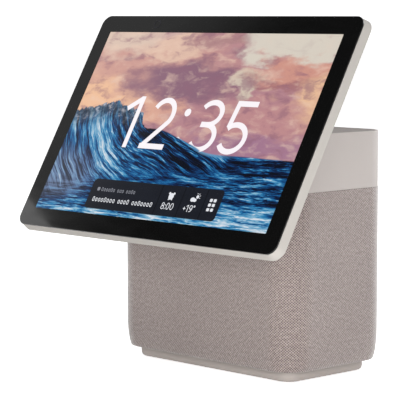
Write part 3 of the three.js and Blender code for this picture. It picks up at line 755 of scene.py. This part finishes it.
def build_card():
    """Generic marks of the card: two lines of rings in place of words, an alarm clock with its time,
    a cloud with a sun and the temperature, and a grid of dots."""
    builder = bmesh.new()

    def bar(x, y, width, height, radius):
        outline = rounded_loop(width, height, radius, 4)
        add_prism(builder, [(x + width / 2 + px, y + py) for px, py in outline])

    def words(x, y, height, step, lengths):
        """A line with no writing in it: rows of small rings, with a gap after each row."""
        for word, length in enumerate(lengths):
            for letter in range(length):
                tall = height * (1.3 if (letter * 5 + word) % 4 == 0 else 1.0)
                outline = rounded_loop(step * 0.5, tall, step * 0.2, 3)
                ring = [(x + px, y + (tall - height) / 2 + py) for px, py in outline]
                add_stroke(builder, ring + ring[:1], step * 0.17, True)
                x += step
            x += step * 0.8

    words(-54.6, -57.6, 2.2, 2.85, (8, 4, 7))
    for column in (51.9, 55.3):
        for row in (-50.2, -53.4, -56.6):
            bar(column, row, 2.4, 2.1, 0.5)
    bell_x, sun_x, sun_y = 16.6, 40.2, -48.8
    add_prism(builder, arc(bell_x, -50.2, 2.3, 2.3, 0, 345, 23))
    for side in (-1, 1):
        add_prism(builder, arc(bell_x + side * 2.0, -48.2, 0.9, 0.9, 0, 330, 11))
        bar(bell_x + side * 1.5 - 0.4, -52.4, 0.8, 1.0, 0.3)
    add_prism(builder, arc(36.6, -50.9, 1.9, 1.5, 0, 345, 23))
    add_prism(builder, arc(38.7, -51.2, 1.5, 1.2, 0, 345, 23))
    add_prism(builder, arc(sun_x, sun_y, 1.2, 1.2, 0, 345, 23))
    for angle in range(-20, 111, 43):
        a = math.radians(angle)
        ray = [(sun_x + r * math.cos(a), sun_y + r * math.sin(a)) for r in (1.8, 2.6)]
        add_stroke(builder, ray, 0.45)
    figure_height, baseline, pen = 4.8, -59.5, 0.105
    for figure, x in (("8", 10.9), ("0", 15.6), ("0", 19.2)):
        add_figure(builder, figure, x, baseline, figure_height, pen)
    for y in (-58.9, -56.4):
        add_prism(builder, arc(14.6, y, 0.4, 0.4, 0, 330, 11))
    for figure, x in (("+", 31.0), ("1", 33.8), ("9", 36.6), ("degree", 40.0)):
        add_figure(builder, figure, x, baseline, figure_height, pen)
    marks = new_object("card_marks", builder)
    place(marks, "display", lit_figures("lit_marks", rgb(232, 234, 240), False), in_head=True)

    builder = bmesh.new()
    bar(-54.8, -49.9, 2.6, 2.6, 0.9)
    words(-49.8, -50.2, 1.8, 2.3, (6, 3, 4))
    dim = new_object("card_marks_dim", builder)
    place(dim, "display", lit_figures("lit_dim", rgb(136, 138, 148), False), in_head=True)


def slot_cutter(x, half_length, half_width, depth=KEY_DEPTH):
    """A slot through the top side of the frame, rounded at its ends."""
    outline = rounded_loop(2 * half_length, 2 * half_width, half_width * 0.95, 6)
    top = GLASS_HEIGHT / 2
    rings = [[(x + px, y, depth - pz) for px, pz in outline] for y in (top - 6, top + 4)]
    return skin("slot", rings)


def build_frame():
    """The side band, with openings for the keys, the shutter's tab and three microphones, and the
    rear cover with a hole for the display cable."""
    section = [(0, FRAME_FRONT), (FRAME_FLARE, FRAME_BACK)]
    section += [(-FRAME_WALL, FRAME_BACK), (-FRAME_WALL, FRAME_FRONT)]
    levels = [(z, -out) for out, z in soften(section, 0.35, closed=True)]
    band = loft("head_band", *GLASS_OUTLINE, levels, closed=True, steps=LARGE_CORNER_STEPS)
    cutters = [slot_cutter(x, 5, 1.5) for x in KEYS.values()]
    cutters.append(slot_cutter(CAMERA_X + 8.85, 5.65, 0.9, -4.8))
    cutters += [slot_cutter(x, 0.7, 0.7) for x in (-12, 0, 12)]
    combine(band, *cutters)
    place(band, "display", FRAME_PLASTIC, ["display_frame"], in_head=True)

    seat = FRAME_BACK - 0.3
    shape = [(HEAD_BACK, 14), (HEAD_BACK, 4.6), (HEAD_BACK + 2.4, 1.0), (seat, -0.8), (seat, 2.2)]
    levels = soften(shape, 1.6, steps=6) + [(HEAD_BACK + 1.8, 5), (HEAD_BACK + 1.8, 14)]
    cover = loft("head_back", *GLASS_OUTLINE, levels, steps=LARGE_CORNER_STEPS)
    combine(cover, loft("hole", 18, 8, 2, [(HEAD_BACK - 1, 0), (HEAD_BACK + 4, 0)]))
    place(cover, "display", FRAME_PLASTIC, ["display_rear_cover"], in_head=True)


def mark_cutter(name, x, top):
    """Cuts a minus, a plus or a dot into the top of a key."""
    reach, thin = 0.8, 0.12
    if name == "mic_mute":
        return lathe("dot", [(0.45, -0.2), (0.45, 1)], "y", (x, top, KEY_DEPTH), 24)
    outline = [(reach, thin), (-reach, thin), (-reach, -thin), (reach, -thin)]
    if name == "volume_up":
        outline = [(reach, thin), (thin, thin), (thin, reach)]
        for _ in range(3):
            outline += [(-pz, px) for px, pz in outline[-3:]]
    rings = [[(x + px, y, KEY_DEPTH - pz) for px, pz in outline] for y in (top - 0.2, top + 1)]
    return skin("mark", rings)


def build_keys():
    """Keys with a softly domed top and an engraved mark, each with a flange behind the side band."""
    top = GLASS_HEIGHT / 2 + 1.6
    for name, x in KEYS.items():
        rings = []
        shape = [(top - 5.1, -1.1), (top - 4.7, -1.1), (top - 4.7, 0), (top - 0.1, 0), (top, 0.35)]
        for y, inset in [shape[0], *soften(shape[1:], 0.3)]:
            # The flange is let out ten times less across the key than along it.
            narrow = max(inset, inset * 0.1)
            outline = rounded_loop(9.4 - 2 * inset, 2.4 - 2 * narrow, 1.1 - narrow, 6)
            rings.append([(x + px, y, KEY_DEPTH - pz) for px, pz in outline])
        key = combine(skin(f"key_{name}", rings), mark_cutter(name, x, top))
        place(key, name, FRAME_PLASTIC, [f"{name}_button"], in_head=True)


def build_shutter():
    """A blade beside the camera, joined round the glass's edge to a grooved tab on the side band."""
    left = CAMERA_X + 4.5
    right = CAMERA_X + 14
    shutter = brick("shutter_slider", (left, 71, -2.1), (right, 77.6, -1.6), 0.8, 0.1)
    link = brick("link", (right - 2.4, 75.6, -5.2), (right - 0.2, 77.3, -1.8), 0.3)
    neck = brick("neck", (right - 2.2, 75.9, -5.4), (right - 0.4, 82.2, -4.2), 0.3)
    tab = brick("tab", (CAMERA_X + 7, 81.9, -5.8), (CAMERA_X + 17, 82.6, -3.8), 0.3, 0.2)
    grooves = [
        brick("groove", (x - 0.2, 82.4, -6.5), (x + 0.2, 83.2, -3), 0.1)
        for x in (CAMERA_X + 10.5, CAMERA_X + 12, CAMERA_X + 13.5)
    ]
    combine(shutter, link, neck, combine(tab, *grooves), operation="UNION")
    place(shutter, "shutter", DARK_PLASTIC, ["camera_shutter"], in_head=True)


def build_hinge():
    """The leaf on the rear cover, with its barrel, the bore for the shaft and a way for the cable."""
    back = HEAD_BACK
    axle = (0, 0, -HINGE_DEPTH)
    plate = soften([(back - 2.8, 1.6), (back - 2.8, 0), (back - 0.3, 0), (back - 0.3, 0.4)], 0.9)
    leaf = loft("hinge_arm", 60, 50, 5, plate, steps=10)
    neck_levels = [(-HINGE_DEPTH, 0), (back - 8, 0)]
    neck_levels += [(back - 4.6, -0.6), (back - 3.2, -1.8), (back - 2, -2.4)]
    neck = loft("neck", 56, 14, 2, neck_levels)
    side = [(4.5, -BARREL_HALF), (BARREL_RADIUS, -BARREL_HALF)]
    side += [(BARREL_RADIUS, BARREL_HALF), (4.5, BARREL_HALF)]
    barrel = lathe("barrel", soften(side, 0.9), "x", axle, 96)
    combine(leaf, neck, barrel, operation="UNION")
    bore = lathe("bore", [(4.3, -40), (4.3, 40)], "x", axle, 48)
    cable_way = loft("way", 16, 6, 2, [(-HINGE_DEPTH, 0), (back + 1, 0)])
    combine(leaf, bore, cable_way)
    place(leaf, "display", DARK_PLASTIC, ["hinge_leaf"], in_head=True)


# ------------------------------------------------------------------ loudspeaker base


def build_cap():
    """A hollow cap with a well for the hinge, open at its front, and a panel let into its top."""
    top = BODY_HEIGHT
    levels = [(SEAM_HEIGHT, 4), (SEAM_HEIGHT, 0.15), (SEAM_HEIGHT + 0.15, 0)]
    levels += soften([(SEAM_HEIGHT + 0.15, 0), (top, 0), (top, 1.3)], 0.9, steps=6)[1:] + [(top, 6)]
    cap = loft("cap_shell", *BODY_OUTLINE, levels, steps=LARGE_CORNER_STEPS)
    levels = [(SEAM_HEIGHT - 1, WALL), (top - WALL, WALL)]
    hollow = loft("hollow", *BODY_OUTLINE, levels, steps=LARGE_CORNER_STEPS)
    rear, bottom = HINGE_Y + BARREL_RADIUS + 1.5, HINGE_Z - BARREL_RADIUS - 2
    front = -BODY_DEPTH / 2 - 3

    def cell(name, margin, low, high):
        """The space of the hinge's well, let out by a margin."""
        half = POCKET_HALF + margin
        return brick(name, (-half, front, low), (half, rear + margin, high), 2 + margin)

    combine(hollow, cell("lining", WALL, bottom - WALL, top + 1))
    levels = [(top - 1.2, 1.6), (top + 1, 1.6)]
    recess = loft("recess", *BODY_OUTLINE, levels, steps=LARGE_CORNER_STEPS)
    combine(recess, cell("keep", WALL, top - 8, top + 2))
    reach = POCKET_HALF + 4
    shaft = lathe("shaft", [(5, -reach), (5, reach)], "x", (0, HINGE_Y, HINGE_Z), 48)
    combine(cap, hollow, cell("pocket", 0, bottom, top + 1), recess, shaft)
    place(cap, "base", SHELL_PLASTIC, ["top_cap"])

    face = top - 0.2
    levels = soften([(face - 0.7, 2.2), (face - 0.7, 1.9), (face, 1.9), (face, 2.6)], 0.3, steps=4)
    panel = loft("cap_panel", *BODY_OUTLINE, levels + [(face, 8)], steps=LARGE_CORNER_STEPS)
    combine(panel, cell("gap", WALL + 0.3, top - 8, top + 2))
    place(panel, "base", PANEL_PLASTIC, ["top_panel"])


def build_sleeve():
    """The cloth is one thin sheet pulled over the grille, turned in at the hem and under the cap."""
    width, depth = BODY_WIDTH + 2 * FABRIC_PROUD, BODY_DEPTH + 2 * FABRIC_PROUD
    rise = [8.1, 9, 10.5, 12.5, 15, 18, 21, 24, HEM_TOP, 40, 60, 80, 100, SLEEVE_TOP - 0.7]
    outer = [(z, hem_inset(z)) for z in rise] + [(SLEEVE_TOP + 0.1, 0.1), (SLEEVE_TOP + 0.25, 0.35)]
    inner = [(z, inset + FABRIC_THICKNESS) for z, inset in reversed(outer[1:-1])]
    turned_in = [(SLEEVE_BOTTOM + 0.05, hem_inset(8.1) + 0.55)]
    radius = BODY_RADIUS + FABRIC_PROUD
    pitch = 1.7
    perimeter = 2 * (width + depth - 4 * radius) + 2 * math.pi * radius
    sleeve = loft(
        "cloth_sleeve", width, depth, radius, outer + inner + turned_in, closed=True,
        weave=(round(perimeter / pitch), pitch), steps=LARGE_CORNER_STEPS,
    )
    half_width, half_height = INLET_FLANGE[0] / 2 + 0.3, INLET_FLANGE[1] / 2 + 0.3
    low, high = (-half_width, 40, INLET_Z - half_height), (half_width, 50, INLET_Z + half_height)
    combine(sleeve, brick("window", low, high, 0.5))
    place(sleeve, "base", CLOTH, ["fabric_sleeve"], sharp=60)
    perimeter * MM


def build_plinth():
    """The plinth, with a seat cut from below for the foot pad."""
    width, depth = BODY_WIDTH - 2 * PLINTH_INSET, BODY_DEPTH - 2 * PLINTH_INSET
    shape = [(0.4, 6), (0.4, 1.9), (1.4, 0.5), (3.4, 0), (PLINTH_TOP, 0), (PLINTH_TOP, 2)]
    levels = soften(shape, 0.8, steps=5)
    plinth = loft("plinth_ring", width, depth, BODY_RADIUS - PLINTH_INSET, levels, steps=20)
    levels = [(-1, 0), (FOOT_TOP + 0.3, 0)]
    combine(plinth, loft("seat", FOOT_WIDTH + 0.6, FOOT_DEPTH + 0.6, FOOT_RADIUS, levels))
    place(plinth, "base", PLINTH_PLASTIC, ["plinth"])

    shape = [(0, 4), (0, 0.5), (0.5, 0), (FOOT_TOP, 0), (FOOT_TOP, 1)]
    mat = loft("foot_mat", FOOT_WIDTH, FOOT_DEPTH, FOOT_RADIUS, soften(shape, 0.4))
    place(mat, "base", RUBBER, ["foot_pad"])


def build_inlet():
    """A flange with a well behind it, closed but for the plug's hole, and the socket at its end."""

    def facing_back(outline, levels):
        """Rings of an upright rounded rectangle. Each level is (y, how far it is let out)."""
        width, height, radius = outline
        rings = []
        for y, out in levels:
            loop = rounded_loop(width + 2 * out, height + 2 * out, radius + out, 10)
            rings.append([(-px, y, INLET_Z + pz) for px, pz in loop])
        return rings

    face = BODY_DEPTH / 2 + 0.9
    shape = [(face - 1.3, -0.2), (face - 1.3, 0), (face, 0), (face, -1.2)]
    bezel = skin("inlet_surround", facing_back(INLET_FLANGE, soften(shape, 0.45)))
    well = brick("well", (-10, 36.7, INLET_Z - 8.2), (10, 47.4, INLET_Z + 8.2), 0.8, 0.3)
    combine(bezel, well, operation="UNION")
    combine(bezel, skin("mouth", facing_back(INLET_MOUTH, [(37.6, 0), (46.6, 0), (49, 1.1)])))
    combine(bezel, lathe("plug_hole", [(3.3, 0), (3.3, 1.6), (3.9, 2.4)], "y", (0, 35.9, INLET_Z), 32))
    place(bezel, "base", DARK_PLASTIC, ["inlet_bezel"])

    jack = brick("power_socket", (-4.5, 28.9, INLET_Z - 5), (4.5, 36.4, INLET_Z + 5), 0.6, 0.4)
    bore = lathe("bore", [(2.8, 0), (2.8, 6), (3.2, 8)], "y", (0, 30.4, INLET_Z), 32)
    combine(jack, bore)
    pin = lathe("pin", soften([(0.1, 0), (0.8, 0), (0.8, 4.6), (0.1, 5)], 0.3), "y", (0, 30, INLET_Z), 24)
    combine(jack, pin, operation="UNION")
    place(jack, "base", DARK_PLASTIC, ["dc_jack"])


build_glass()
build_clock()
build_card()
build_frame()
build_keys()
build_shutter()
build_hinge()
build_cap()
build_sleeve()
build_plinth()
build_inlet()

# The pieces inside stay as the CAD has them, with softened shading and a finish by slot.
for row in frame["record"]["subparts"]:
    node = frame["nodes"][row["node"]]
    node.data.polygons.foreach_set("use_smooth", [True] * len(node.data.polygons))
    node.data.set_sharp_from_angle(angle=math.radians(35))
    node.data.materials.clear()
    node.data.materials.append(SLOT_MATERIALS[row["material_slot"]])

# ------------------------------------------------------------------ studio


def softbox(name, size, watts, place_at, aim, mirrored=True):
    """A square lamp, unseen by the camera. Mirrored says whether glossy surfaces show it."""
    light = bpy.data.lights.new(name, "AREA")
    light.shape = "SQUARE"
    light.size = size
    light.energy = watts
    lamp = bpy.data.objects.new(name, light)
    lamp.location = place_at
    lamp.visible_camera = False
    lamp.visible_glossy = mirrored
    lamp.rotation_mode = "QUATERNION"
    lamp.rotation_quaternion = (Vector(place_at) - Vector(aim)).to_track_quat("Z", "Y")
    bpy.context.scene.collection.objects.link(lamp)


def build_floor():
    """A pale floor, a hair under the foot pad, that the camera sees as nearly white."""
    half_size, drop = 12, 0.0002
    builder = bmesh.new()
    bmesh.ops.create_grid(builder, x_segments=8, y_segments=8, size=half_size)
    floor = new_object("floor", builder)
    floor.location.z = -drop
    shader = Shader("floor", Roughness=0.9)
    shader.colour((0.9, 0.9, 0.9, 1))
    glow, glow_seen = 0.12, 0.63
    seen = Field(shader, shader.node("LightPath", {}).outputs["Is Camera Ray"])
    shader.feed(shader.surface.inputs["Emission Strength"], seen * glow_seen + glow)
    shader.feed(shader.surface.inputs["Emission Color"], (1, 1, 1, 1))
    floor.data.materials.append(shader.material)


def build_world():
    """White where the camera sees it. For light it is a pale room: bright behind the object and on
    its right, dark in front on the left, with a soft edge that the glass reflects."""
    world = bpy.data.worlds.new("studio")
    bpy.context.scene.world = world
    world.use_nodes = True
    tree = world.node_tree
    background = tree.nodes["Background"]
    direction = tree.nodes.new("ShaderNodeTexCoord").outputs["Generated"]

    def glow(toward, low, high, amount):
        """Light that grows smoothly towards one side of the room."""
        facing = tree.nodes.new("ShaderNodeVectorMath")
        facing.operation = "DOT_PRODUCT"
        facing.inputs[1].default_value = Vector(toward).normalized()
        tree.links.new(direction, facing.inputs[0])
        step = tree.nodes.new("ShaderNodeMapRange")
        step.interpolation_type = "SMOOTHSTEP"
        step.inputs[1].default_value, step.inputs[2].default_value = low, high
        step.inputs[4].default_value = amount
        tree.links.new(facing.outputs["Value"], step.inputs[0])
        return step.outputs[0]

    def add(first, second):
        total = tree.nodes.new("ShaderNodeMath")
        tree.links.new(first, total.inputs[0])
        if isinstance(second, float):
            total.inputs[1].default_value = second
        else:
            tree.links.new(second, total.inputs[1])
        return total.outputs[0]

    behind = glow((-0.672, 0.953, -0.162), 0.008, 0.068, 0.42)
    backdrop = glow((-0.5, 0.85, -0.1), 0.35, 0.9, 0.5)
    right = glow((0.5, 0.85, 0.1), 0.2, 0.9, 0.1)
    light = add(add(add(behind, backdrop), right), 0.05)
    white = 1.2
    choose = tree.nodes.new("ShaderNodeMix")
    choose.data_type = "FLOAT"
    choose.inputs[3].default_value = white
    tree.links.new(tree.nodes.new("ShaderNodeLightPath").outputs["Is Camera Ray"], choose.inputs[0])
    tree.links.new(light, choose.inputs[2])
    tree.links.new(choose.outputs[0], background.inputs["Strength"])
    background.inputs["Color"].default_value = (1, 1, 1, 1)


def build_camera():
    """The photograph's view. Azimuth counts from the front towards +X."""
    azimuth, elevation = math.radians(46.30), math.radians(5.54)
    aim = Vector((-30.8, -16.9, 108.9)) * MM
    distance, focal_length = 1.2931, 172.3
    level = math.cos(elevation)
    back = Vector((math.sin(azimuth) * level, -math.cos(azimuth) * level, math.sin(elevation)))
    camera = bpy.data.objects.new("camera", bpy.data.cameras.new("camera"))
    camera.data.lens = focal_length
    camera.location = aim + back * distance
    camera.rotation_mode = "QUATERNION"
    camera.rotation_quaternion = back.to_track_quat("Z", "Y")
    bpy.context.scene.collection.objects.link(camera)
    bpy.context.scene.camera = camera


build_floor()
build_world()
softbox("key", 0.4, 3.9, (0.47, -0.5, 0.12), (0, 0, 0.08), mirrored=False)
softbox("left", 0.6, 1.5, (-0.9, -0.35, 0.25), (0, 0, 0.1))
softbox("rear", 0.6, 5, (0.25, 1.15, 0.35), (0, 0, 0.1))
softbox("top", 1.8, 16, (0.1, 0.3, 2.2), (0, 0, 0.1))
build_camera()
bpy.context.scene.view_settings.view_transform = "Standard"
